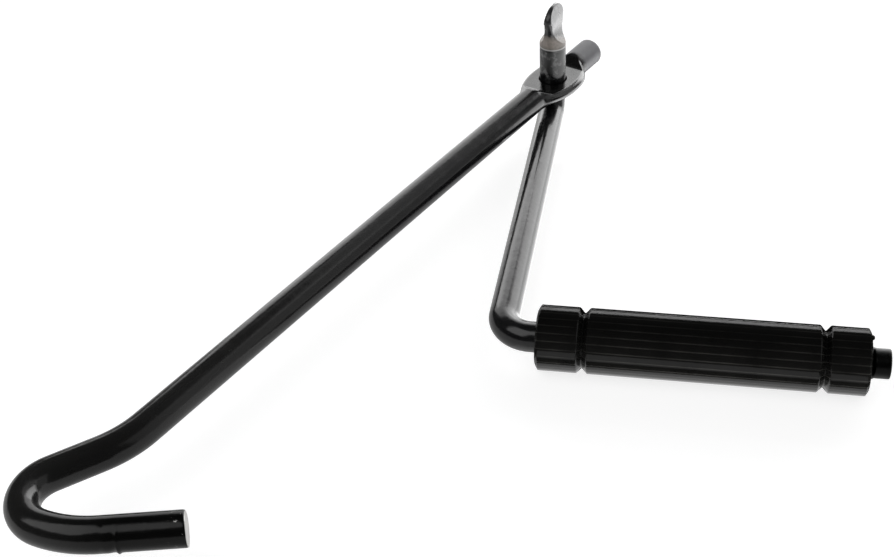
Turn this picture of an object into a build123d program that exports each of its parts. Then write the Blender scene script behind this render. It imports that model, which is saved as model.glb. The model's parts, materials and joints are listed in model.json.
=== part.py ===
from build123d import *
import os
from math import cos, radians, sin

# Folding crank handle: a hooked bar with a pressed eye, a cranked bar pinned through the eye, and a
# plastic grip that spins on the cranked bar. Millimetres, +Z up along the pin.
# The hooked bar lies along X with its hook towards -X. Everything is drawn about the pivot, where the
# pin's axis crosses the hooked bar's axis, and moved at the end so that the bottom centre is the origin.

# Hooked bar
ROD_DIA = 13.0
SHANK_LENGTH = 285.5  # pivot to the first bend of the hook
KICK_RADIUS, KICK_ANGLE = 44.0, 25.3  # first, outward bend
KICK_STRAIGHT = 18.2
HOOK_RADIUS, HOOK_ANGLE = 14.4, 124.2  # the tight turn
SPREAD_RADIUS, SPREAD_ANGLE = 44.0, 28.3  # the easy turn that follows it
TIP_STRAIGHT = 29.4
TIP_CHAMFER = 0.8
STUB_END = 36.5  # pivot to the cut end beyond the eye
STUB_CHAMFER = 1.2

# Pressed eye of the hooked bar
EYE_THICKNESS = 5.0
EYE_LENGTH, EYE_WIDTH = 36.0, 26.0
EYE_RIM_ROUND = 2.0
NECK_END, NECK_INNER = 21.0, 12.0  # from the pivot: the bar's sides spread between these
NECK_WIDTH = 15.6
FLAT_HALF_LENGTH = 13.5  # where the flat ends and the ramp up to the round bar starts
RAMP_LENGTH = 6.5
DIE_CLEARANCE = 1.5  # how far the pressed ramps are drawn past the bar's surface
EYE_HOLE_DIA = 13.0

# Cranked bar
CRANK_DIA = 12.5
PIN_DROP = 13.1  # pivot down to the arm's axis: the arm passes just under the hooked bar
PIN_BEND_RADIUS = 10.0
THROW = 177.2  # pin axis to grip axis
ELBOW_RADIUS = 12.2
REST_FOLD = 24.2  # degrees between the hooked bar and the arm, as drawn
SHAFT_END = 150.3  # arm axis to the end of the grip's shaft

# Flattened tongue on top of the pin
TONGUE_TURN = -14.2  # degrees from the arm's direction to the tongue's plane
TONGUE_THICKNESS, TONGUE_TIP_THICKNESS = 4.1, 2.2
TONGUE_WIDTH = 17.8
TONGUE_WIDEST, TONGUE_TOP = 35.4, 41.8  # heights above the pivot
PIN_ROUND_TOP = 22.5  # height at which the pin starts to narrow to the tongue
TONGUE_ROOT = 31.5  # height at which it has the tongue's thickness
TONGUE_BLEND = 4.0  # how far below the root the tongue's edges start to spread

# Squeezed end of the grip's shaft
SQUEEZE_WIDTH, SQUEEZE_HEIGHT = 14.8, 11.8
SQUEEZE_TURN = -40  # degrees from the arm's direction to the oval's long axis, about the shaft
SQUEEZE_START, SQUEEZE_FULL = 143.1, 145.0  # from the arm axis
SQUEEZE_CHAMFER = 0.6

# Grip
GRIP_DIA = 26.2
GRIP_BORE_DIA = 13.0
GRIP_START, GRIP_END = 15.0, 142.6  # from the arm axis
RING_GROOVES = (18.4, 110.7)  # middles of the two V grooves, from the grip's inner end
RING_GROOVE_WIDTH, RING_GROOVE_DEPTH = 3.9, 2.1
END_CHAMFER_LENGTH, END_CHAMFER_DEPTH = 1.2, 1.9
FLUTE_COUNT, FLUTE_DIA, FLUTE_DEPTH = 26, 2.6, 0.2

# Worked out from the above
ROD_R, CRANK_R, GRIP_R = ROD_DIA / 2, CRANK_DIA / 2, GRIP_DIA / 2
ARM_HEADING = 180 + REST_FOLD
ARM_DIR = Vector(cos(radians(ARM_HEADING)), sin(radians(ARM_HEADING)), 0)
GRIP_DIR = Vector(0, 0, 1).cross(ARM_DIR)
CORNER = ARM_DIR * THROW - Vector(0, 0, PIN_DROP)  # where the arm's axis meets the grip's axis
GRIP_PLANE = Plane(origin=CORNER, x_dir=ARM_DIR, z_dir=GRIP_DIR)
TONGUE_PLANE = Plane.XY.rotated((0, 0, ARM_HEADING + TONGUE_TURN))


def tube_along(path, diameter):
    """A round bar along a wire."""
    start = Plane(origin=path @ 0, z_dir=path % 0)
    return sweep(start * Circle(diameter / 2), path=path)


def hooked_wire():
    """The hooked bar's centre line from the eye's neck to the hook's tip."""
    shank = Line((-NECK_END, 0), (-SHANK_LENGTH, 0))
    kick = JernArc(shank @ 1, shank % 1, KICK_RADIUS, -KICK_ANGLE)
    run = Line(kick @ 1, kick @ 1 + (kick % 1) * KICK_STRAIGHT)
    turn = JernArc(run @ 1, run % 1, HOOK_RADIUS, HOOK_ANGLE)
    spread = JernArc(turn @ 1, turn % 1, SPREAD_RADIUS, SPREAD_ANGLE)
    tip = Line(spread @ 1, spread @ 1 + (spread % 1) * TIP_STRAIGHT)
    return Wire([shank, kick, run, turn, spread, tip])


def chamfer_at(solid, point, radius, length):
    """Chamfers the round cut edge whose centre is at a point."""
    near = [e for e in solid.edges() if e.geom_type == GeomType.CIRCLE
            and (e.arc_center - point).length < 0.1 and abs(e.radius - radius) < 0.1]
    return chamfer(near, length)


def die_pocket(side):
    """What a press takes off one side of the bar at the eye: flat floor, sloping ends."""
    floor, top = EYE_THICKNESS / 2, ROD_R + DIE_CLEARANCE
    slope = RAMP_LENGTH / (ROD_R - floor)
    reach = FLAT_HALF_LENGTH + (top - floor) * slope
    outline = Polyline((-FLAT_HALF_LENGTH, floor * side), (FLAT_HALF_LENGTH, floor * side),
                       (reach, top * side), (-reach, top * side), close=True)
    return extrude(Plane.XZ * make_face(outline), amount=EYE_WIDTH, both=True)


def eye_plate():
    """The oval flat that the pressed metal spreads into."""
    plate = extrude(Ellipse(EYE_LENGTH / 2, EYE_WIDTH / 2), amount=EYE_THICKNESS / 2, both=True)
    return fillet(plate.edges().filter_by(GeomType.ELLIPSE), EYE_RIM_ROUND)


def neck(side):
    """The bar's sides spreading towards the eye; it keeps its height."""
    outer, inner = Plane.YZ.offset(NECK_END * side), Plane.YZ.offset(NECK_INNER * side)
    return loft([outer * Circle(ROD_R), inner * Ellipse(NECK_WIDTH / 2, ROD_R)])


def make_hook_rod():
    wire = hooked_wire()
    bar = tube_along(wire, ROD_DIA)
    bar = chamfer_at(bar, wire @ 1, ROD_R, TIP_CHAMFER)
    stub = Plane.YZ.offset(NECK_END) * extrude(Circle(ROD_R), amount=STUB_END - NECK_END)
    stub = chamfer_at(stub, Vector(STUB_END, 0, 0), ROD_R, STUB_CHAMFER)
    bar = bar + neck(-1) + neck(1) + stub - die_pocket(1) - die_pocket(-1) + eye_plate()
    return bar - Cylinder(EYE_HOLE_DIA / 2, ROD_DIA * 2)


def crank_wire():
    """The cranked bar's centre line: down the pin, out along the arm, out along the grip's shaft."""
    top = Vector(0, 0, TONGUE_TOP)
    foot = Vector(0, 0, -PIN_DROP)
    end = CORNER + GRIP_DIR * SQUEEZE_START
    return FilletPolyline(top, foot, CORNER, end, radius=[PIN_BEND_RADIUS, ELBOW_RADIUS])


def tongue_cutter(side):
    """Takes one side off the pin's top, in the plane across the tongue: a hollow root, then flat."""
    half, tip = TONGUE_THICKNESS / 2 * side, TONGUE_TIP_THICKNESS / 2 * side
    rise, drop = CRANK_R - TONGUE_THICKNESS / 2, TONGUE_ROOT - PIN_ROUND_TOP
    hollow = (rise**2 + drop**2) / (2 * rise)
    knee = sin(radians(45)) * hollow
    centre = half + hollow * side
    above = TONGUE_TOP + TONGUE_BLEND
    root = ThreePointArc((centre, TONGUE_ROOT - hollow),
                         (centre - knee * side, TONGUE_ROOT - knee), (half, TONGUE_ROOT))
    rest = Polyline((half, TONGUE_ROOT), (half, TONGUE_WIDEST), (tip, TONGUE_TOP), (tip, above),
                    (centre * 2, above), (centre * 2, TONGUE_ROOT - hollow),
                    (centre, TONGUE_ROOT - hollow))
    across = Plane(TONGUE_PLANE.origin, x_dir=TONGUE_PLANE.y_dir, z_dir=TONGUE_PLANE.x_dir)
    return extrude(across * make_face(root + rest), amount=TONGUE_WIDTH, both=True)


def tongue_plate():
    """The spread metal of the tongue, seen face on: it widens from the pin and has a round end."""
    half, low = TONGUE_WIDTH / 2, TONGUE_ROOT - TONGUE_BLEND
    edge = Spline((CRANK_R, low), (half, TONGUE_WIDEST), tangents=((0, 1), (0, 1)))
    cap = EllipticalCenterArc((0, TONGUE_WIDEST), half, TONGUE_TOP - TONGUE_WIDEST, arc_size=180)
    other = Spline((-half, TONGUE_WIDEST), (-CRANK_R, low), tangents=((0, -1), (0, -1)))
    base = Line((-CRANK_R, low), (CRANK_R, low))
    face_on = Plane(TONGUE_PLANE.origin, x_dir=TONGUE_PLANE.x_dir, z_dir=-TONGUE_PLANE.y_dir)
    return extrude(face_on * make_face(edge + cap + other + base), amount=TONGUE_THICKNESS / 2, both=True)


def squeezed_end():
    """The shaft's end, pressed oval so that it is wider than the grip's bore."""
    neck = GRIP_PLANE * Pos(0, 0, SQUEEZE_START) * Circle(CRANK_R)
    oval = Rot(0, 0, SQUEEZE_TURN) * Ellipse(SQUEEZE_WIDTH / 2, SQUEEZE_HEIGHT / 2)
    flare = loft([neck, GRIP_PLANE * Pos(0, 0, SQUEEZE_FULL) * oval])
    head = extrude(GRIP_PLANE * Pos(0, 0, SQUEEZE_FULL) * oval, amount=SHAFT_END - SQUEEZE_FULL)
    rim = head.edges().group_by(Axis(CORNER, GRIP_DIR))[-1]
    return flare + chamfer(rim, SQUEEZE_CHAMFER)


def make_crank_rod():
    bar = tube_along(crank_wire(), CRANK_DIA)
    above_root = extrude(Pos(0, 0, TONGUE_ROOT) * Circle(CRANK_DIA), amount=TONGUE_TOP)
    bar = bar - above_root + tongue_plate() - tongue_cutter(1) - tongue_cutter(-1)
    return bar + squeezed_end()


def grip_profile():
    """Half section of the grip: radius along X, length along Y."""
    bore, out = GRIP_BORE_DIA / 2, GRIP_R
    low, high = GRIP_START, GRIP_END
    half_groove = RING_GROOVE_WIDTH / 2
    points = [(bore, low), (out - END_CHAMFER_DEPTH, low), (out, low + END_CHAMFER_LENGTH)]
    for middle in (low + groove for groove in RING_GROOVES):
        points += [(out, middle - half_groove), (out - RING_GROOVE_DEPTH, middle),
                   (out, middle + half_groove)]
    points += [(out, high - END_CHAMFER_LENGTH), (out - END_CHAMFER_DEPTH, high), (bore, high)]
    return make_face(Polyline(*points, close=True))


def make_grip():
    sleeve = revolve(Plane.XZ * grip_profile(), Axis.Z)
    flute_at = GRIP_R + FLUTE_DIA / 2 - FLUTE_DEPTH
    flute = Pos(flute_at, 0, (GRIP_START + GRIP_END) / 2) * Cylinder(FLUTE_DIA / 2, GRIP_END)
    cuts = [Rot(0, 0, 360 / FLUTE_COUNT * i) * flute for i in range(FLUTE_COUNT)]
    return GRIP_PLANE * (sleeve - cuts)


def main():
    nodes = {"hook_rod": make_hook_rod(), "crank_rod": make_crank_rod(), "grip": make_grip()}
    box = Compound(children=[Compound(n.solids()) for n in nodes.values()]).bounding_box()
    bottom_centre = Vector(box.center().X, box.center().Y, box.min.Z)
    os.makedirs("parts", exist_ok=True)
    for name, shape in nodes.items():
        export_step(Pos(-bottom_centre) * shape, f"parts/{name}.step")
    print("pivot in the part's frame", -bottom_centre)
    print("size", box.size)


main()
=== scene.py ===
import bmesh
import bpy
import json
import numpy as np
from math import cos, pi, radians, sin
from mathutils import Matrix, Vector


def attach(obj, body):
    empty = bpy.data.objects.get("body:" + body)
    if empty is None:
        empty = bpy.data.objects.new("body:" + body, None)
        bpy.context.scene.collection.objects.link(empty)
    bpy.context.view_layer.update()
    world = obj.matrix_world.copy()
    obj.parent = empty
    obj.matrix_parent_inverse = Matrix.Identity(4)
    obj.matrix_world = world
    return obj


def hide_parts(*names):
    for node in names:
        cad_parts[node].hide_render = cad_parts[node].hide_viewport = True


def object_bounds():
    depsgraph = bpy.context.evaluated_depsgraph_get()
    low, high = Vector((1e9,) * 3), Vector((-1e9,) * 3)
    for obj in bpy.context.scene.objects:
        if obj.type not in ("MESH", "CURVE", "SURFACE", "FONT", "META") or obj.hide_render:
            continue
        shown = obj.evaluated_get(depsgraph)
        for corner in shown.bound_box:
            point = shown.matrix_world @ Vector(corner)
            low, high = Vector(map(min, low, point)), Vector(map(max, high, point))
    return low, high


# A folding crank handle: a hooked bar with a pressed eye, a cranked bar pinned through the eye, and a
# fluted grip that spins on it. Every piece is drawn about the pivot, in millimetres, and moved to the
# row frame in metres by place(). The pivot, the arm's heading and the grip's axis come from the frame.

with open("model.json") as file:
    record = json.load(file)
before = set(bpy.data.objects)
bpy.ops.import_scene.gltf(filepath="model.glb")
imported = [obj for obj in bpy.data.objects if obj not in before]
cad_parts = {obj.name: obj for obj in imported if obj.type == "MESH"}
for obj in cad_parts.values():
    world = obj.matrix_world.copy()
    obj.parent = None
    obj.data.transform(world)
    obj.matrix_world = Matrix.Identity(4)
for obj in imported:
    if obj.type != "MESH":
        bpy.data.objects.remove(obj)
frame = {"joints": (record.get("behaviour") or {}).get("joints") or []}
cad_low, cad_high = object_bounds()

MM = 0.001
JOINTS = {j["name"]: j for j in frame["joints"]}
PIVOT = Vector(JOINTS["crank_fold"]["pos_m"])
GRIP_AXIS = np.array(JOINTS["grip_spin"]["axis"], float)
UP = np.array([0.0, 0.0, 1.0])
ARM_AXIS = np.cross(GRIP_AXIS, UP)

# Hooked bar
ROD_R = 6.5
SHANK_LENGTH = 285.5
HOOK_RUN = [("line", SHANK_LENGTH), ("turn", 44.0, -25.3), ("line", 18.2), ("turn", 14.4, 124.2),
            ("turn", 44.0, 28.3), ("line", 29.4)]
STUB_END = 36.5
EYE_HALF_THICKNESS = 2.5
EYE_HALF_WIDTH = 13.0
EYE_STUB_OUTLINE = (18.5, 2.5)  # half length and power of the eye's outline, from the pivot towards the stub
EYE_FAR_OUTLINE, EYE_NEAR_OUTLINE = (23.5, 1.75), (20.5, 1.8)  # towards the hook, on its +Y and -Y sides
EYE_RIM_HEIGHT = 5.0
EYE_REACH = 26.0  # the pressed part ends within this of the pivot
FLAT_HALF_LENGTH, RAMP_LENGTH = 13.5, 6.5
EYE_HOLE_R = 6.5
DIE_MARK, DIE_MARK_FACING = 22.4, radians(316)  # from the hook's cut end; which side of the bar it is on
TIP_ROLLOVER, TIP_SHARP, TIP_SHEAR_FACING = 1.2, 0.2, radians(190)
TIP_LEAN = 0.9
DIE_MARK_HEIGHT, DIE_MARK_DIP = 0.5, 0.2
BEND_SQUEEZE = 0.22
STUB_ROUND = 1.1

# Cranked bar
CRANK_R = 6.25
PIN_DROP = 13.1
PIN_BEND_R, ELBOW_R = 10.0, 12.2
THROW = 177.2
SHAFT_END = 150.3
TONGUE_TURN = radians(-14.2)
TONGUE_HALF_WIDTH, TONGUE_WIDEST, TONGUE_TOP = 8.9, 35.4, 41.8
TONGUE_HALF_THICKNESS, TONGUE_TIP_HALF_THICKNESS = 2.05, 1.1
TONGUE_RIM_HEIGHT = 4.6
TONGUE_STEP, TONGUE_STEP_SHARE = 34.8, 0.42
TONGUE_SHIFT = 0.5
TONGUE_TIP_ROUND = 1.3
PIN_ROUND_TOP, TONGUE_ROOT = 22.5, 31.5
PIN_RING, PIN_RING_HEIGHT, PIN_RING_DIP = 20.8, 0.16, 0.12
FAR_SPREAD = 2.1  # how much further the metal spread on the tongue's far side, below its root
HOLLOW_TURN = radians(-13)
SQUEEZE_START, SQUEEZE_FULL = 143.2, 144.6
SQUEEZE_HALF_WIDTH, SQUEEZE_HALF_HEIGHT, SQUEEZE_TURN = 7.4, 5.9, radians(-40)
SHAFT_ROUND = 0.7
ELBOW = ARM_AXIS * THROW - UP * PIN_DROP  # where the arm's and the grip's centre lines cross

# Grip
GRIP_R, GRIP_BORE_R = 13.1, 6.5
GRIP_START, GRIP_END = 15.0, 142.6
RING_INNER, RING_OUTER = 18.4, 110.7  # centres of the two V grooves, from the grip's inner end
RING_WIDTH, RING_DEPTH = 3.9, 2.3
INNER_CHAMFER, OUTER_CHAMFER = (1.2, 2.0), (1.0, 1.6)  # length along the grip and depth
FACE_RINGS = (8.3, 7.4, GRIP_BORE_R + 0.3)  # radii of the rings that fill an end face, clear of the nub
GATE_MARK_R, GATE_MARK_HEIGHT, GATE_MARK_AT, GATE_MARK_FACING = 1.1, 1.3, 9.7, radians(118)
FLUTE_COUNT, FLUTE_DEPTH, FLUTE_TURN = 26, 0.045, radians(6.1)

AROUND, EYE_AROUND, FLUTE_AROUND, GATE_MARK_AROUND = 128, 96, 10, 20
UNPRESSED = 0.6  # a section clipped this far beyond its radius stays round
SHARP_EDGE = radians(32)
SLIVER = 2e-6  # metres


def smooth(low, high, x):
    """0 below low, 1 above high, and a smooth S between them."""
    t = np.clip((np.asarray(x, float) - low) / (high - low), 0, 1)
    return t * t * (3 - 2 * t)


def soft_min(a, b, width):
    """The lesser of a and b, rounded over width where they cross."""
    h = np.clip(0.5 + 0.5 * (b - a) / width, 0, 1)
    return b * (1 - h) + a * h - width * h * (1 - h)


def soft_max(a, b, width):
    return -soft_min(-np.asarray(a, float), -np.asarray(b, float), width)


def circle(count):
    """Angles spaced evenly round a circle."""
    return np.arange(count) * 2 * pi / count


def turned(vector, axis, angle):
    """A vector turned about a unit axis."""
    return (vector * cos(angle) + np.cross(axis, vector) * sin(angle)
            + axis * np.dot(axis, vector) * (1 - cos(angle)))


class Route:
    """A centre line of straight runs and arcs, sampled by length. side and over span each section."""

    def __init__(self, start, heading, side):
        self.at = np.array(start, float)
        self.heading = np.array(heading, float)
        self.side = np.array(side, float)
        self.length = 0.0
        self.legs = []

    def line(self, length):
        self.legs.append((self.length, length, self.at, self.heading, self.side, None, 0.0))
        self.at = self.at + self.heading * length
        self.length += length
        return self

    def turn(self, radius, angle, axis):
        """An arc about an axis through a centre at that radius; the angle's sign picks the way it turns."""
        axis = np.array(axis, float)
        centre = self.at + np.cross(axis, self.heading) * np.sign(angle) * radius
        length = radius * abs(angle)
        self.legs.append((self.length, length, self.at, self.heading, self.side, (centre, axis), angle))
        self.at = centre + turned(self.at - centre, axis, angle)
        self.heading = turned(self.heading, axis, angle)
        self.side = turned(self.side, axis, angle)
        self.length += length
        return self

    def sample(self, s):
        """Point, heading and side at a length along the route; both ends carry on straight."""
        for begin, length, at, heading, side, arc, angle in self.legs:
            if s <= begin + length or self.legs[-1][0] == begin:
                if arc is None:
                    return at + heading * (s - begin), heading, side
                part = angle * (s - begin) / length
                centre, axis = arc
                at = centre + turned(at - centre, axis, part)
                return at, turned(heading, axis, part), turned(side, axis, part)


def oval(theta, half_width, half_height, clip, rounding):
    """A section: an oval with its top and bottom pressed flat at clip, in (across, up) coordinates."""
    up = half_height * np.sin(theta)
    pressed = soft_min(np.abs(up), clip, rounding)
    return half_width * np.cos(theta), np.sign(up) * np.maximum(pressed, 0)


def section_turned(across, up, angle):
    """A section's coordinates turned about the route."""
    return across * cos(angle) - up * sin(angle), across * sin(angle) + up * cos(angle)


def place(points):
    """Pivot millimetres to row-frame metres."""
    return np.asarray(points, float) * MM + np.array(PIVOT)


def build(name, rings):
    """A closed skin over rings with the same number of points each, closed at both ends by shrinking
    rings and a middle face."""
    rings = [np.asarray(r, float) for r in rings]
    rings = end_rings(rings[0])[::-1] + rings + end_rings(rings[-1])
    around = len(rings[0])
    points = np.concatenate(rings)
    faces = []
    for i in range(len(rings) - 1):
        for j in range(around):
            k = (j + 1) % around
            faces.append((i * around + j, i * around + k, (i + 1) * around + k, (i + 1) * around + j))
    faces.append(tuple(range(around))[::-1])
    faces.append(tuple(range((len(rings) - 1) * around, len(rings) * around)))
    return mesh_object(name, place(points), faces)


def end_rings(ring, steps=(0.8, 0.55, 0.3, 0.1)):
    """Rings that fill a flat end face."""
    middle = ring.mean(axis=0)
    return [middle + (ring - middle) * step for step in steps]


def mesh_object(name, points, faces):
    mesh = bpy.data.meshes.new(name)
    mesh.from_pydata([tuple(p) for p in points], [], faces)
    mesh.validate()
    mesh.shade_smooth()
    mesh.set_sharp_from_angle(angle=SHARP_EDGE)
    piece = bpy.data.objects.new(name, mesh)
    bpy.context.scene.collection.objects.link(piece)
    return piece


def spaced(*spans):
    """Positions along a route: spans of (from, to, step), each end once."""
    out = []
    for low, high, step in spans:
        count = max(1, round((high - low) / step))
        out.extend(low + (high - low) * i / count for i in range(count))
    return out + [spans[-1][1]]


# ---------------------------------------------------------------- hooked bar

def hook_route():
    """From the eye's pin axis to the cut tip of the hook."""
    route = Route((0, 0, 0), (-1, 0, 0), (0, 1, 0))
    for leg in HOOK_RUN:
        if leg[0] == "line":
            route.line(leg[1])
        else:
            route.turn(leg[1], radians(leg[2]), UP)
    return route


def eye_section(x, theta):
    """The bar's section near the eye: the die leaves a flat floor and two ramps, and the metal spreads."""
    away = abs(x)
    ramp = EYE_HALF_THICKNESS + (away - FLAT_HALF_LENGTH) * (ROD_R - EYE_HALF_THICKNESS) / RAMP_LENGTH
    clip = soft_min(soft_max(ramp, EYE_HALF_THICKNESS, 0.5), ROD_R + UNPRESSED, 0.5)
    far = eye_half_width(away, EYE_FAR_OUTLINE if x > 0 else EYE_STUB_OUTLINE)
    near = eye_half_width(away, EYE_NEAR_OUTLINE if x > 0 else EYE_STUB_OUTLINE)
    pressed = 1 - smooth(FLAT_HALF_LENGTH - 1.5, FLAT_HALF_LENGTH + RAMP_LENGTH, away)
    half_height = ROD_R + (EYE_RIM_HEIGHT - ROD_R) * pressed
    across, up = oval(theta, 1.0, half_height, float(clip), 0.45)
    return across * np.where(across > 0, far, near), up


def eye_half_width(away, outline):
    """Half width of the eye at a distance from the pivot; it never gets narrower than the bar."""
    if away >= EYE_REACH:
        return ROD_R
    half_length, power = outline
    inside = max(0.0, 1 - (away / half_length) ** power)
    return float(soft_max(EYE_HALF_WIDTH * inside ** (1 / power), ROD_R, 2.4))


def hook_bar():
    theta = circle(AROUND)
    route = hook_route()
    length = route.length
    mark_at = length - DIE_MARK
    rings = []
    for s in spaced((-STUB_END + 1.0, -22, 0.7), (-22, EYE_REACH, 0.34),
                    (EYE_REACH, SHANK_LENGTH - 4, 2.2), (SHANK_LENGTH - 4, length - 30, 0.9),
                    (length - 30, length - 16, 0.3), (length - 16, length - TIP_ROLLOVER - TIP_SHARP, 0.8)):
        at, _, side = route.sample(s)
        if abs(s) < EYE_REACH + 1:
            across, up = eye_section(s, theta)
        else:
            bend = bend_squeeze(s, length)
            mark = die_mark(s - mark_at, theta)
            across = (ROD_R + bend + mark) * np.cos(theta)
            up = (ROD_R - bend * 0.8 + mark) * np.sin(theta)
        rings.append(at + np.outer(across, side) + np.outer(up, UP))
    rings = rounded_end(rings[0], route.sample(-STUB_END)[0], STUB_ROUND)[::-1] + rings
    rings = rings + sheared_end(rings[-1], route.at, theta)
    bar = build("hook_bar_skin", rings)
    drill_eye(bar)
    return bar


def die_mark(along, theta):
    """Height of the ridge that the bending former's edge left on the outer, lower side of the hook's
    tip, with the dip beside it."""
    ridge = DIE_MARK_HEIGHT * np.exp(-((along / 0.55) ** 2))
    ridge = ridge - DIE_MARK_DIP * np.exp(-(((along + 1.7) / 1.1) ** 2))
    facing = 0.5 + 0.5 * np.cos(theta - DIE_MARK_FACING)
    return ridge * facing**3


def sheared_end(ring, end, theta):
    """A cropped end: the edge rolls over on the side where the shear bit, and stays sharp on the other."""
    middle = ring.mean(axis=0)
    forward = (np.asarray(end, float) - middle) / np.linalg.norm(end - middle)
    radius = np.linalg.norm(ring - middle, axis=1)
    bite = (0.5 + 0.5 * np.cos(theta - TIP_SHEAR_FACING)) ** 1.5
    depth = TIP_SHARP + (TIP_ROLLOVER - TIP_SHARP) * bite
    lean = TIP_LEAN * (0.5 + 0.5 * np.cos(theta)) ** 1.5
    out = []
    for part in np.linspace(0, 1, 9)[1:]:
        angle = part * pi / 2
        shrink = 1 - depth * 0.9 * (1 - cos(angle)) / radius
        reach = (TIP_ROLLOVER + TIP_SHARP) - depth + depth * sin(angle) + lean * part
        out.append(middle + (ring - middle) * shrink[:, None] + np.outer(reach, forward))
    return out


def bend_squeeze(s, length):
    """Change in the bar's half width where it was bent round the hook's former, in mm; it narrows there
    and hook_bar() makes it taller."""
    return -BEND_SQUEEZE * float(smooth(306, 322, s) * (1 - smooth(length - 29, length - 26.5, s)))


def rounded_end(ring, end, depth):
    """Rings that round the edge of a cut end, from the last full ring to the end plane."""
    middle = ring.mean(axis=0)
    forward = np.asarray(end, float) - middle
    forward = forward / np.linalg.norm(forward)
    reach = np.linalg.norm(np.asarray(end, float) - middle)
    radius = np.linalg.norm(ring - middle, axis=1).max()
    out = []
    for part in (0.35, 0.7, 1.0):
        angle = part * pi / 2
        shrink = 1 - depth * (1 - cos(angle)) / radius
        out.append(middle + (ring - middle) * shrink + forward * (reach - depth + depth * sin(angle)))
    return out


def drill_eye(bar):
    """Cuts the eye's hole, with its edges broken, through the pressed flat."""
    profile = [(EYE_HOLE_R + 0.9, EYE_HALF_THICKNESS + 0.4), (EYE_HOLE_R + 0.28, EYE_HALF_THICKNESS - 0.12),
               (EYE_HOLE_R, EYE_HALF_THICKNESS - 0.75)]
    profile = profile + [(r, -z) for r, z in profile[::-1]]
    theta = circle(EYE_AROUND)
    rings = []
    for r, z in profile:
        rings.append(np.stack([r * np.cos(theta), r * np.sin(theta), np.full_like(theta, -z)], axis=1))
    cutter = build("eye_cutter", rings)
    combine(bar, cutter, "DIFFERENCE")


def combine(piece, other, operation):
    """Cuts another shape out of a piece, or adds it, by an exact boolean."""
    change = piece.modifiers.new(operation.lower(), "BOOLEAN")
    change.operation = operation
    change.solver = "EXACT"
    change.object = other
    bake_modifiers(piece)
    bpy.data.objects.remove(other)


def bake_modifiers(piece):
    """Applies a piece's modifiers to its mesh, and clears the slivers that a cut or a union leaves."""
    graph = bpy.context.evaluated_depsgraph_get()
    mesh = bpy.data.meshes.new_from_object(piece.evaluated_get(graph))
    piece.modifiers.clear()
    piece.data = mesh
    edit = bmesh.new()
    edit.from_mesh(mesh)
    bmesh.ops.remove_doubles(edit, verts=edit.verts, dist=SLIVER)
    bmesh.ops.dissolve_degenerate(edit, dist=SLIVER, edges=edit.edges)
    edit.to_mesh(mesh)
    edit.free()
    mesh.shade_smooth()
    mesh.set_sharp_from_angle(angle=SHARP_EDGE)


# ---------------------------------------------------------------- cranked bar

def crank_route():
    """From the tongue's tip down the pin, along the arm and out along the grip's shaft."""
    tongue = turned(ARM_AXIS, UP, TONGUE_TURN)
    route = Route((0, 0, TONGUE_TOP), (0, 0, -1), tongue)
    route.line(TONGUE_TOP + PIN_DROP - PIN_BEND_R)
    route.turn(PIN_BEND_R, pi / 2, np.cross(-UP, ARM_AXIS))
    route.line(THROW - PIN_BEND_R - ELBOW_R)
    route.turn(ELBOW_R, pi / 2, np.cross(ARM_AXIS, GRIP_AXIS))
    route.line(SHAFT_END - ELBOW_R)
    return route


def tongue_section(z, theta):
    """The pin's section at a height: round below, hollowed on two sides above, then the flat tongue."""
    neck = float(smooth(TONGUE_ROOT - 3, TONGUE_STEP - 1, z))
    step = float(smooth(TONGUE_STEP - 0.35, TONGUE_STEP + 0.35, z))
    widen = neck * (1 - TONGUE_STEP_SHARE) + step * TONGUE_STEP_SHARE
    half_width = CRANK_R + (TONGUE_HALF_WIDTH - CRANK_R) * widen
    if z > TONGUE_WIDEST:
        part = (z - TONGUE_WIDEST) / (TONGUE_TOP - TONGUE_WIDEST)
        half_width = TONGUE_HALF_WIDTH * max(1e-4, 1 - part**1.9) ** 0.54
    rise, drop = CRANK_R - TONGUE_HALF_THICKNESS, TONGUE_ROOT - PIN_ROUND_TOP
    hollow = (rise**2 + drop**2) / (2 * rise)
    below = np.clip(TONGUE_ROOT - z, 0, hollow)
    clip = TONGUE_HALF_THICKNESS + hollow - (hollow**2 - below**2) ** 0.5
    taper = float(smooth(TONGUE_WIDEST - 1, TONGUE_TOP, z))
    clip += (TONGUE_TIP_HALF_THICKNESS - TONGUE_HALF_THICKNESS) * taper
    from_top = min(1.0, (TONGUE_TOP - z) / TONGUE_TIP_ROUND)
    clip *= 0.25 + 0.75 * (1 - (1 - from_top) ** 2) ** 0.5
    pressed = float(smooth(PIN_ROUND_TOP, TONGUE_ROOT + 2, z))
    half_height = CRANK_R + (TONGUE_RIM_HEIGHT - CRANK_R) * pressed
    turn = HOLLOW_TURN * float(1 - smooth(PIN_ROUND_TOP, TONGUE_ROOT - 0.5, z))
    across, up = oval(theta - turn, half_width, half_height, min(clip, CRANK_R + UNPRESSED), 0.35)
    far = CRANK_R + FAR_SPREAD * float(smooth(PIN_ROUND_TOP - 1, TONGUE_ROOT - 3, z))
    if z < TONGUE_WIDEST and far > half_width:
        across = np.where(across < 0, across * far / half_width, across)
    across, up = section_turned(across, up, turn)
    return across, up - TONGUE_SHIFT * float(smooth(TONGUE_ROOT - 4, TONGUE_ROOT + 2, z))


def pin_ring(z):
    """Height of the rounded line that the turning tool left round the pin, and of the dip below it."""
    line = PIN_RING_HEIGHT * np.exp(-(((z - PIN_RING) / 0.55) ** 2))
    return line - PIN_RING_DIP * np.exp(-(((z - PIN_RING + 1.2) / 0.8) ** 2))


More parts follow.
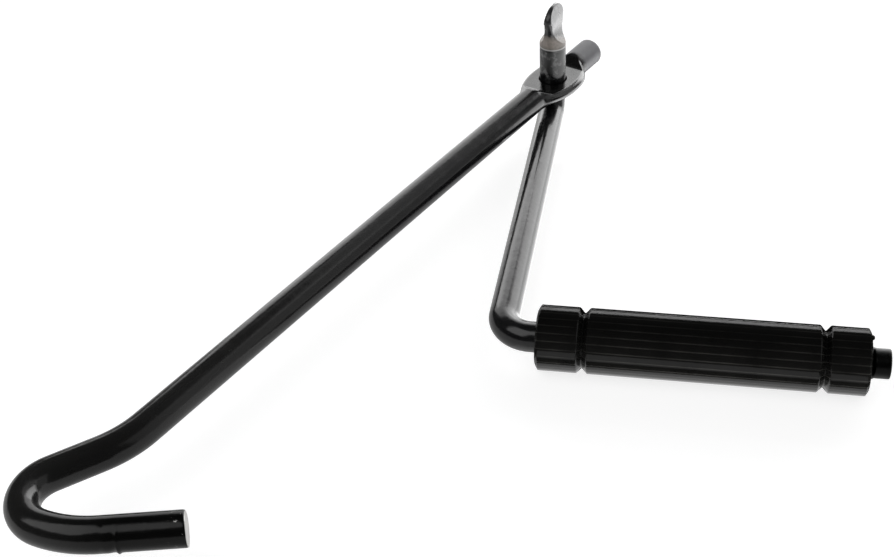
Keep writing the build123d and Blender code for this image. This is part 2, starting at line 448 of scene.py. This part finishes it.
def crank_bar():
    theta = circle(AROUND)
    route = crank_route()
    round_from = TONGUE_TOP - PIN_ROUND_TOP + 3
    ring_past = TONGUE_TOP - PIN_RING + 5
    bend_past = 66
    shaft_from = route.length - (SHAFT_END - ELBOW_R)
    _, heading, side = route.sample(route.length)
    # the sections turn slowly along the arm, so that along the shaft their side points along the arm
    drift = np.arctan2(np.dot(np.cross(heading, side), ARM_AXIS), np.dot(side, ARM_AXIS))
    tip = TONGUE_TOP - TONGUE_WIDEST
    cap = [tip * (1 - cos(a)) for a in np.linspace(0.12, pi / 2, 22)]
    rings = []
    squeeze_at = route.length - (SHAFT_END - SQUEEZE_START)
    squeeze_full = route.length - (SHAFT_END - SQUEEZE_FULL)
    stations = cap[:-1] + spaced(
        (cap[-1], round_from, 0.34), (round_from, ring_past, 0.25), (ring_past, bend_past, 1.0),
        (bend_past, shaft_from - 18, 2.2), (shaft_from - 18, shaft_from + 4, 0.7),
        (shaft_from + 4, squeeze_at - 1, 2.4), (squeeze_at - 1, squeeze_full + 0.8, 0.2),
        (squeeze_full + 0.8, route.length - 0.9, 0.6))
    for s in stations:
        at, heading, side = route.sample(s)
        twist = drift * float(smooth(bend_past + 4, shaft_from - 20, s))
        side = turned(side, heading, twist)
        over = np.cross(heading, side)
        z = TONGUE_TOP - s
        if z > PIN_ROUND_TOP - 3:
            across, up = tongue_section(z, theta)
        elif z > PIN_RING - 5:
            radius = CRANK_R + pin_ring(z)
            across, up = radius * np.cos(theta), radius * np.sin(theta)
        elif s > squeeze_at - 1:
            across, up = squeezed_section(s - squeeze_at, theta)
        else:
            across, up = CRANK_R * np.cos(theta), CRANK_R * np.sin(theta)
        rings.append(at + np.outer(across, side) + np.outer(up, over))
    rings = rings + rounded_end(rings[-1], route.at, SHAFT_ROUND)
    return build("crank_bar_skin", rings)


def squeezed_section(s, theta):
    """The shaft's end, pinched flat just beyond the grip so that it can't pass the bore."""
    full = float(smooth(0, SQUEEZE_FULL - SQUEEZE_START, s))
    half_width = CRANK_R + (SQUEEZE_HALF_WIDTH - CRANK_R) * full
    clip = CRANK_R + UNPRESSED + (SQUEEZE_HALF_HEIGHT - CRANK_R - UNPRESSED) * full
    across, up = oval(theta - SQUEEZE_TURN, half_width, CRANK_R, clip, 0.4)
    return section_turned(across, up, SQUEEZE_TURN)


# ---------------------------------------------------------------- grip

def ring_groove(s, centre):
    """Depth of a V groove round the grip, its lips and bottom a little rounded."""
    away = abs(s - centre) / (RING_WIDTH / 2)
    return RING_DEPTH * float(soft_max(1.08 - (away**2 + 0.02) ** 0.5, 0.0, 0.16))


def grip_radius(s):
    """Outside radius along the grip, from its inner end, before the flutes."""
    length = GRIP_END - GRIP_START
    radius = GRIP_R - ring_groove(s, RING_INNER) - ring_groove(s, RING_OUTER)
    for end, (chamfer_length, depth) in ((s, INNER_CHAMFER), (length - s, OUTER_CHAMFER)):
        if end < chamfer_length:
            radius -= depth * (1 - end / chamfer_length) ** 1.3
    return radius


def grip_sleeve():
    around = FLUTE_COUNT * FLUTE_AROUND
    theta = circle(around)
    wave = np.abs(np.sin((theta - FLUTE_TURN) * FLUTE_COUNT / 2))
    flute = FLUTE_DEPTH * (1 - smooth(0.0, 0.55, wave))
    length = GRIP_END - GRIP_START
    edges = [0, 1.9]
    for groove in (RING_INNER, RING_OUTER):
        edges += [groove - RING_WIDTH / 2 - 0.8, groove, groove + RING_WIDTH / 2 + 0.8]
    edges += [length - 1.9, length]
    stations = spaced(*[(a, b, 0.2 if b - a < 4 else 2.0) for a, b in zip(edges, edges[1:])])
    rings = []

    def ring(s, radius, cut):
        centre = ELBOW + GRIP_AXIS * (GRIP_START + s)
        r = radius - flute * cut
        return centre + np.outer(r * np.cos(theta), ARM_AXIS) + np.outer(r * np.sin(theta), UP)

    for s in stations:
        rings.append(ring(s, grip_radius(s), 1.0))
    end_out, end_in = [], []
    for r in FACE_RINGS:
        end_out.append(ring(length, r, 0.0))
        end_in.append(ring(0, r, 0.0))
    bore = [ring(s, GRIP_BORE_R, 0.0) for s in (length - 0.3, length * 0.66, length * 0.33, 0.3)]
    loop = rings + end_out + bore + end_in[::-1]
    points = np.concatenate(loop)
    faces = []
    for i in range(len(loop)):
        n = (i + 1) % len(loop)
        for j in range(around):
            k = (j + 1) % around
            faces.append((i * around + j, i * around + k, n * around + k, n * around + j))
    grip = mesh_object("grip_sleeve", place(points), faces)
    combine(grip, gate_mark(length), "UNION")
    return grip


def gate_mark(length):
    """The nub on the grip's outer face where the mould was filled."""
    theta = circle(GATE_MARK_AROUND)
    spot = ARM_AXIS * cos(GATE_MARK_FACING) + UP * sin(GATE_MARK_FACING)
    middle = ELBOW + GRIP_AXIS * (GRIP_START + length) + spot * GATE_MARK_AT
    rings = []
    for height, share in ((-0.8, 1.0), (0.0, 1.0), (0.7, 0.92), (1.05, 0.75), (GATE_MARK_HEIGHT, 0.45)):
        r = GATE_MARK_R * share
        ring = np.outer(r * np.cos(theta), ARM_AXIS) + np.outer(r * np.sin(theta), UP)
        rings.append(middle + GRIP_AXIS * height + ring)
    return build("gate_mark", rings)


# ---------------------------------------------------------------- materials

def new_material(name):
    material = bpy.data.materials.new(name)
    material.use_nodes = True
    nodes, links = material.node_tree.nodes, material.node_tree.links
    return material, nodes, links, nodes["Principled BSDF"]


def noise_node(nodes, links, coords, scale, detail=4.0, roughness=0.55):
    node = nodes.new("ShaderNodeTexNoise")
    node.inputs["Scale"].default_value = scale
    node.inputs["Detail"].default_value = detail
    node.inputs["Roughness"].default_value = roughness
    links.new(coords, node.inputs["Vector"])
    return node.outputs["Fac"]


def ramp_node(nodes, links, value, stops):
    """A colour ramp over (position, colour) stops."""
    node = nodes.new("ShaderNodeValToRGB")
    ramp = node.color_ramp
    while len(ramp.elements) < len(stops):
        ramp.elements.new(0.5)
    for element, (position, colour) in zip(ramp.elements, stops):
        element.position = position
        element.color = (*colour, 1.0)
    links.new(value, node.inputs["Fac"])
    return node.outputs["Color"]


def range_node(nodes, links, value, low, high, out_low, out_high):
    node = nodes.new("ShaderNodeMapRange")
    node.inputs["From Min"].default_value = low
    node.inputs["From Max"].default_value = high
    node.inputs["To Min"].default_value = out_low
    node.inputs["To Max"].default_value = out_high
    links.new(value, node.inputs["Value"])
    return node.outputs["Result"]


def bump_node(nodes, links, height, strength, distance, normal=None):
    node = nodes.new("ShaderNodeBump")
    node.inputs["Strength"].default_value = strength
    node.inputs["Distance"].default_value = distance
    links.new(height, node.inputs["Height"])
    if normal is not None:
        links.new(normal, node.inputs["Normal"])
    return node.outputs["Normal"]


def math_node(nodes, links, operation, *values):
    node = nodes.new("ShaderNodeMath")
    node.operation = operation
    for socket, value in zip(node.inputs, values):
        if isinstance(value, (int, float)):
            socket.default_value = value
        else:
            links.new(value, socket)
    return node.outputs["Value"]


def mix_node(nodes, links, share, first, second):
    """A blend of two colours, each a colour or a socket."""
    node = nodes.new("ShaderNodeMix")
    node.data_type = "RGBA"
    links.new(share, node.inputs["Factor"])
    for name, value in (("A", first), ("B", second)):
        socket = [i for i in node.inputs if i.name == name and i.type == "RGBA"][0]
        if isinstance(value, tuple):
            socket.default_value = (*value, 1.0)
        else:
            links.new(value, socket)
    return [o for o in node.outputs if o.type == "RGBA"][0]


def band_node(nodes, links, value, low, high, soft):
    """1 between low and high, fading to 0 over soft on either side."""
    rise = range_node(nodes, links, value, low - soft, low + soft, 0.0, 1.0)
    fall = range_node(nodes, links, value, high - soft, high + soft, 1.0, 0.0)
    return math_node(nodes, links, "MULTIPLY", rise, fall)


def along_node(nodes, links, coords, origin, axis):
    """Distance of a position from an origin along an axis."""
    offset = nodes.new("ShaderNodeVectorMath")
    offset.operation = "SUBTRACT"
    links.new(coords, offset.inputs[0])
    offset.inputs[1].default_value = tuple(origin)
    dot = nodes.new("ShaderNodeVectorMath")
    dot.operation = "DOT_PRODUCT"
    links.new(offset.outputs["Vector"], dot.inputs[0])
    dot.inputs[1].default_value = tuple(axis)
    return dot.outputs["Value"]


def paint(name, wear_and_painted_light, sheen, bare=None):
    """Glossy black paint on bar, with orange peel, uneven gloss and fine dust. wear_and_painted_light, sheen
    and bare take (nodes, links, coords): wear_and_painted_light gives marks of wear and of painted light,
    with where each lies, its colour and roughness; sheen gives where it mirrors more or less than paint does,
    with how much; bare gives where steel shows."""
    material, nodes, links, shader = new_material(name)
    coords = nodes.new("ShaderNodeTexCoord").outputs["Object"]
    colour = ramp_node(nodes, links, noise_node(nodes, links, coords, 60.0),
                       [(0.3, (0.0045, 0.0045, 0.005)), (0.75, (0.009, 0.009, 0.0095))])
    gloss = range_node(nodes, links, noise_node(nodes, links, coords, 180.0, 6.0), 0.3, 0.7, 0.13, 0.22)
    dust = noise_node(nodes, links, coords, 900.0, 3.0, 0.6)
    dust = range_node(nodes, links, dust, 0.66, 0.74, 0.0, 0.5)
    colour = mix_node(nodes, links, dust, colour, (0.03, 0.03, 0.03))
    # these marks are wear and also painted light: a paler hook tip and a painted reflection on the pin
    for share, wear_and_light_colour, mark_roughness in wear_and_painted_light(nodes, links, coords):
        colour = mix_node(nodes, links, share, colour, wear_and_light_colour)
        rougher = math_node(nodes, links, "MULTIPLY", share, mark_roughness)
        gloss = math_node(nodes, links, "ADD", gloss, rougher)
    metal = 0.0
    for share, mirrored in sheen(nodes, links, coords):
        colour = mix_node(nodes, links, share, colour, (mirrored, mirrored, mirrored))
        metal = math_node(nodes, links, "MAXIMUM", share, metal)
    if bare is not None:
        share = bare(nodes, links, coords)
        colour = mix_node(nodes, links, share, colour, (0.8, 0.79, 0.77))
        metal = math_node(nodes, links, "MAXIMUM", share, metal)
        gloss = math_node(nodes, links, "ADD", gloss, math_node(nodes, links, "MULTIPLY", share, 0.25))
    links.new(metal, shader.inputs["Metallic"])
    links.new(colour, shader.inputs["Base Color"])
    links.new(gloss, shader.inputs["Roughness"])
    peel = bump_node(nodes, links, noise_node(nodes, links, coords, 420.0, 2.0), 0.06, 0.0006)
    swell = bump_node(nodes, links, noise_node(nodes, links, coords, 110.0, 2.0), 0.10, 0.0008, peel)
    links.new(swell, shader.inputs["Normal"])
    return material


def hook_wear_and_painted_light(nodes, links, coords):
    """The stub is worn dull and grey, and the bar's colour is a shade paler towards the hook's tip, painted
    light.
    """
    patchy = noise_node(nodes, links, coords, 140.0, 5.0, 0.6)
    x = along_node(nodes, links, coords, PIVOT, (1, 0, 0))
    stub = range_node(nodes, links, x, 0.0185, 0.0225, 0.0, 1.0)
    stub = math_node(nodes, links, "MULTIPLY", stub, range_node(nodes, links, patchy, 0.25, 0.6, 0.75, 1.0))
    # painted light: the bar's colour made a shade paler towards the hook's tip
    tip_painted_light = near_node(nodes, links, coords, Vector(place(hook_route().at)), 0.06, 0.20)
    return [(tip_painted_light, (0.016, 0.016, 0.0155), 0.0), (stub, (0.155, 0.155, 0.166), 0.28)]


def hook_sheen(nodes, links, coords):
    """The eye's flat is burnished by the die and reflects more; the hook's tip is duller than the rest."""
    x, z = (along_node(nodes, links, coords, PIVOT, axis) for axis in ((1, 0, 0), (0, 0, 1)))
    patchy = noise_node(nodes, links, coords, 140.0, 5.0, 0.6)
    eye = band_node(nodes, links, x, -0.016, 0.016, 0.002)
    eye = math_node(nodes, links, "MULTIPLY", eye, band_node(nodes, links, z, -0.0029, 0.0029, 0.0002))
    eye = math_node(nodes, links, "MULTIPLY", eye, range_node(nodes, links, patchy, 0.3, 0.6, 0.88, 1.0))
    tip = near_node(nodes, links, coords, Vector(place(hook_route().at)), 0.025, 0.06)
    tip = math_node(nodes, links, "MULTIPLY", tip, 0.8)
    return [(eye, 0.13), (tip, 0.0125)]


def near_node(nodes, links, coords, spot, inside, outside):
    """1 closer than inside to a spot, fading to 0 at outside."""
    node = nodes.new("ShaderNodeVectorMath")
    node.operation = "DISTANCE"
    links.new(coords, node.inputs[0])
    node.inputs[1].default_value = spot
    return range_node(nodes, links, node.outputs["Value"], inside, outside, 1.0, 0.0)


def hook_bare(nodes, links, coords):
    """Bare steel on the hook's cut end, and a few chips just behind it."""
    route = hook_route()
    end = Vector(place(route.at))
    slope = route.heading - route.side * TIP_LEAN / (2 * ROD_R)
    behind = along_node(nodes, links, coords, end, slope)
    face = range_node(nodes, links, behind, TIP_LEAN * 0.0005 - 0.0003, TIP_LEAN * 0.0005 - 0.0001, 0.0, 1.0)
    chip = range_node(nodes, links, noise_node(nodes, links, coords, 420.0, 4.0, 0.65), 0.62, 0.66, 0.0, 1.0)
    near = range_node(nodes, links, behind, -0.006, -0.001, 0.0, 1.0)
    chips = math_node(nodes, links, "MULTIPLY", chip, near)
    close = near_node(nodes, links, coords, end, 0.011, 0.012)
    return math_node(nodes, links, "MULTIPLY", close, math_node(nodes, links, "MAXIMUM", face, chips))


def crank_wear_and_painted_light(nodes, links, coords):
    """Above its ring the pin carries a pale brownish band, a painted reflection of the floor; below the ring
    it is dulled and blotchy. The tongue and the shaft's end are dulled."""
    z = along_node(nodes, links, coords, PIVOT, (0, 0, 1))
    patchy = noise_node(nodes, links, coords, 260.0, 5.0, 0.6)
    ring_at = PIN_RING * MM
    # painted reflection: a pale brownish band on the pin above its ring, in place of the floor's reflection
    pin_painted_reflection = range_node(nodes, links, z, ring_at, ring_at + 0.0004, 0.0, 1.0)
    slope = along_node(nodes, links, coords, PIVOT, (0.4, 0.05, 1.0))
    slope = math_node(nodes, links, "ADD", slope, range_node(nodes, links, patchy, 0.3, 0.7, -0.0012, 0.0012))
    upper = range_node(nodes, links, slope, 0.0240, 0.0268, 1.0, 0.0)
    pin_painted_reflection = math_node(nodes, links, "MULTIPLY", pin_painted_reflection, upper)
    pin_painted_reflection = math_node(nodes, links, "MULTIPLY", pin_painted_reflection, range_node(nodes, links, patchy, 0.3, 0.6, 0.6, 1.0))
    dull = band_node(nodes, links, z, 0.008, ring_at, 0.002)
    blotch = range_node(nodes, links, noise_node(nodes, links, coords, 330.0, 3.0, 0.5), 0.52, 0.64, 0.0, 1.0)
    low_pin = band_node(nodes, links, z, 0.006, ring_at - 0.001, 0.001)
    blotch = math_node(nodes, links, "MULTIPLY", blotch, low_pin)
    ring = band_node(nodes, links, z, ring_at - 0.0003, ring_at + 0.0003, 0.0002)
    scored = band_node(nodes, links, z, ring_at - 0.0014, ring_at - 0.0008, 0.0002)
    tongue = range_node(nodes, links, z, 0.028, 0.033, 0.0, 1.0)
    tongue = math_node(nodes, links, "MULTIPLY", tongue, range_node(nodes, links, patchy, 0.3, 0.6, 0.7, 1.0))
    normal = nodes.new("ShaderNodeTexCoord").outputs["Normal"]
    flat = along_node(nodes, links, normal, (0, 0, 0), turned(GRIP_AXIS, UP, TONGUE_TURN))
    flat = range_node(nodes, links, math_node(nodes, links, "ABSOLUTE", flat), 0.75, 0.95, 0.12, 1.0)
    tongue = math_node(nodes, links, "MULTIPLY", tongue, flat)
    tail = shaft_tail(nodes, links, coords)
    # the first entry is a painted reflection, not wear
    return [(pin_painted_reflection, (0.28, 0.245, 0.215), 0.25), (dull, (0.028, 0.029, 0.028), 0.22),
            (blotch, (0.16, 0.16, 0.16), 0.1), (scored, (0.006, 0.006, 0.006), 0.0),
            (ring, (0.42, 0.41, 0.40), 0.0), (tongue, (0.26, 0.26, 0.264), 0.12),
            (tail, (0.02, 0.019, 0.018), 0.15)]


def crank_sheen(nodes, links, coords):
    """The shaft's squeezed end is duller than the rest."""
    return [(shaft_tail(nodes, links, coords), 0.013)]


def shaft_tail(nodes, links, coords):
    """1 round the shaft's squeezed end, fading to 0 inside the grip."""
    end = Vector(ELBOW + GRIP_AXIS * SHAFT_END) * MM + PIVOT
    return near_node(nodes, links, coords, end, 0.010, 0.016)


def flute_dust(nodes, links, coords):
    """Dust along the bottoms of the grip's flutes, more of it here than there."""
    axis = place(ELBOW)
    out, up = (along_node(nodes, links, coords, axis, direction) for direction in (ARM_AXIS, UP))
    angle = math_node(nodes, links, "ARCTAN2", up, out)
    angle = math_node(nodes, links, "SUBTRACT", angle, FLUTE_TURN)
    angle = math_node(nodes, links, "MULTIPLY", angle, FLUTE_COUNT / 2)
    wave = math_node(nodes, links, "ABSOLUTE", math_node(nodes, links, "SINE", angle))
    line = range_node(nodes, links, wave, 0.12, 0.34, 1.0, 0.0)
    patchy = noise_node(nodes, links, coords, 45.0, 4.0)
    return math_node(nodes, links, "MULTIPLY", line, range_node(nodes, links, patchy, 0.35, 0.65, 0.1, 1.0))


def plastic(name):
    """Moulded black plastic with a fine grain, its gloss a little uneven, and dust in the flutes."""
    material, nodes, links, shader = new_material(name)
    coords = nodes.new("ShaderNodeTexCoord").outputs["Object"]
    tint = ramp_node(nodes, links, noise_node(nodes, links, coords, 90.0),
                     [(0.3, (0.0100, 0.0100, 0.0094)), (0.75, (0.0165, 0.0162, 0.0150))])
    colour = mix_node(nodes, links, flute_dust(nodes, links, coords), tint, (0.070, 0.068, 0.063))
    links.new(colour, shader.inputs["Base Color"])
    shader.inputs["Specular IOR Level"].default_value = 0.34
    rough = range_node(nodes, links, noise_node(nodes, links, coords, 500.0, 5.0), 0.3, 0.7, 0.07, 0.12)
    links.new(rough, shader.inputs["Roughness"])
    grain = bump_node(nodes, links, noise_node(nodes, links, coords, 1500.0, 3.0), 0.08, 0.0003)
    waves = bump_node(nodes, links, noise_node(nodes, links, coords, 160.0, 2.0), 0.06, 0.0008, grain)
    links.new(waves, shader.inputs["Normal"])
    return material


# ---------------------------------------------------------------- stage, light and camera

CAMERA_FROM_PIVOT = Vector((-539.56, -325.54, 362.53)) * MM
CAMERA_FORWARD = Vector((0.641114, 0.470678, -0.606165))
CAMERA_UP = Vector((0.522265, 0.311162, 0.793989))
CAMERA_LENS = 59.548
TABLE_GLOW = 0.62
STAGE_HALF, STAGE_HEIGHT = 6, 8  # metres
SHEET_LIFT = 0.4
EYE_SHEET = [(-32, -10), (93, -160), (260, -160), (260, -10)]  # corners, in pivot millimetres


def aim(forward, up):
    """A rotation whose -Z looks forward and whose Y is up."""
    forward = forward.normalized()
    right = forward.cross(up).normalized()
    up = right.cross(forward)
    return Matrix((right, up, -forward)).transposed()


def make_camera():
    camera = bpy.data.objects.new("camera", bpy.data.cameras.new("camera"))
    bpy.context.scene.collection.objects.link(camera)
    camera.data.lens = CAMERA_LENS
    camera.data.sensor_width = 36.0
    camera.data.clip_start = 0.01
    turn = aim(CAMERA_FORWARD, CAMERA_UP).to_4x4()
    camera.matrix_world = Matrix.Translation(PIVOT + CAMERA_FROM_PIVOT) @ turn
    bpy.context.scene.camera = camera


def stage_mesh(name, points, faces, colour, glow, roughness):
    """A plain surface of the studio, with a glow of its own."""
    mesh = bpy.data.meshes.new(name)
    mesh.from_pydata(points, [], faces)
    piece = bpy.data.objects.new(name, mesh)
    bpy.context.scene.collection.objects.link(piece)
    material, _, _, shader = new_material(name)
    shader.inputs["Base Color"].default_value = (colour, colour, colour, 1)
    shader.inputs["Roughness"].default_value = roughness
    shader.inputs["Emission Color"].default_value = (1, 1, 1, 1)
    shader.inputs["Emission Strength"].default_value = glow
    piece.data.materials.append(material)
    return piece


def make_floor():
    """A white floor and backdrop that reflections don't see, and in the floor's plane a greyer, glossier
    table that only they see. Returns the table."""
    z = cad_low.z
    around = ((-1, -1), (1, -1), (1, 1), (-1, 1))
    square = [(x * STAGE_HALF, y * STAGE_HALF, z) for x, y in around]
    floor = stage_mesh("floor", square, [(0, 1, 2, 3)], 0.5, 0.8, 0.9)
    floor.visible_glossy = False
    table = stage_mesh("table", square, [(0, 1, 2, 3)], 0.0, TABLE_GLOW, 0.12)
    table.visible_camera = False
    table.visible_diffuse = False
    table.visible_shadow = False
    wall = [(x * STAGE_HALF, y * STAGE_HALF, h) for h in (z, STAGE_HEIGHT) for x, y in around]
    faces = [(i, (i + 1) % 4, (i + 1) % 4 + 4, i + 4) for i in range(4)] + [(4, 5, 6, 7)]
    backdrop = stage_mesh("backdrop", wall, faces, 0.5, 0.8, 0.9)
    backdrop.visible_glossy = False
    backdrop.visible_diffuse = False
    backdrop.visible_shadow = False
    return table


def beside_grip(outward, sideways):
    """Corners of a rectangle, in pivot millimetres: outward is its reach from the elbow along the arm and
    on past it, and sideways its reach from there along the grip."""
    elbow = ARM_AXIS * THROW
    return [elbow + ARM_AXIS * out + GRIP_AXIS * s
            for out, s in ((outward[0], sideways[0]), (outward[0], sideways[1]),
                           (outward[1], sideways[1]), (outward[1], sideways[0]))]


def reflected_sheet(name, corners, lift, glow):
    """A glowing sheet, lift millimetres above the table, that only reflections see."""
    points = [(PIVOT.x + x * MM, PIVOT.y + y * MM, cad_low.z + lift * MM) for x, y, *_ in corners]
    sheet = stage_mesh(name, points, [(0, 1, 2, 3)], 0.0, glow, 1.0)
    sheet.active_material.node_tree.nodes["Principled BSDF"].inputs["Specular IOR Level"].default_value = 0.0
    sheet.visible_camera = False
    sheet.visible_diffuse = False
    sheet.visible_shadow = False
    return sheet


def compass(azimuth, elevation):
    """A direction from degrees: azimuth from +X towards +Y."""
    a, e = radians(azimuth), radians(elevation)
    return Vector((cos(a) * cos(e), sin(a) * cos(e), sin(e)))


def softbox(name, azimuth, elevation, wide, high, radiance, distance=1.5):
    """A flat light that faces the object. wide and high are degrees; radiance is its brightness, white
    being 1."""
    light = bpy.data.lights.new(name, "AREA")
    light.shape = "RECTANGLE"
    light.size = 2 * distance * np.tan(radians(wide / 2))
    light.size_y = 2 * distance * np.tan(radians(high / 2))
    light.energy = radiance * pi * light.size * light.size_y
    lamp = bpy.data.objects.new(name, light)
    bpy.context.scene.collection.objects.link(lamp)
    lamp.visible_camera = False
    toward = compass(azimuth, elevation)
    centre = (cad_low + cad_high) / 2
    turn = aim(-toward, Vector((0, 0, 1))).to_4x4()
    lamp.matrix_world = Matrix.Translation(centre + toward * distance) @ turn
    return lamp


def light_only(lamp, piece, state):
    """Keeps a light or a glowing sheet to one piece, or off that piece; state is INCLUDE or EXCLUDE."""
    group = bpy.data.collections.new(lamp.name + "_group")
    group.objects.link(piece)
    lamp.light_linking.receiver_collection = group
    group.collection_objects[0].light_linking.link_state = state


def make_lights(crank, grip):
    world = bpy.data.worlds.new("studio")
    bpy.context.scene.world = world
    world.use_nodes = True
    background = world.node_tree.nodes["Background"]
    background.inputs["Color"].default_value = (1, 1, 1, 1)
    background.inputs["Strength"].default_value = 0.05
    back = [softbox("back_core", 2, 15, 46, 36, 2.2), softbox("back_wide", 17, 17, 88, 38, 1.7),
            softbox("back_halo", 0, 46, 60, 18, 0.45)]
    for lamp in back:
        light_only(lamp, grip, "EXCLUDE")
    light_only(softbox("grip_line", 30, 17, 80, 16, 1.9), grip, "INCLUDE")
    light_only(softbox("arm_fill", 50, 22, 50, 44, 1.6), crank, "INCLUDE")
    light_only(softbox("left_top", 158, 54, 44, 44, 1.5), grip, "EXCLUDE")
    softbox("right_fill", -62, 25, 50, 50, 0.33)


def main():
    hook, crank, grip = hook_bar(), crank_bar(), grip_sleeve()
    hook_paint = paint("hook_bar_paint", hook_wear_and_painted_light, hook_sheen, hook_bare)
    crank_paint = paint("crank_bar_paint", crank_wear_and_painted_light, crank_sheen)
    pieces = [(hook, "hook_bar", "hook_rod", "hook_rod_paint", hook_paint),
              (crank, "crank", "crank_rod", "crank_rod_paint", crank_paint),
              (grip, "hand_grip", "grip", "grip_plastic", plastic("grip_plastic"))]
    for piece, body, node, slot, material in pieces:
        piece.data.materials.append(material)
        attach(piece, body)
        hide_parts(node)
    light_only(make_floor(), grip, "EXCLUDE")
    behind = reflected_sheet("bounce_behind", beside_grip((-400, -20), (0, 350)), SHEET_LIFT, 2.4)
    light_only(behind, crank, "INCLUDE")
    light_only(reflected_sheet("bounce_eye", EYE_SHEET, SHEET_LIFT + 0.2, 2.4), grip, "EXCLUDE")
    reflected_sheet("bounce_below", beside_grip((5, 19), (0, 152)), SHEET_LIFT, 1.0)
    reflected_sheet("bounce_front", beside_grip((34, 160), (0, 152)), SHEET_LIFT, TABLE_GLOW)
    make_lights(crank, grip)
    make_camera()
    bpy.context.scene.view_settings.view_transform = "Standard"


main()
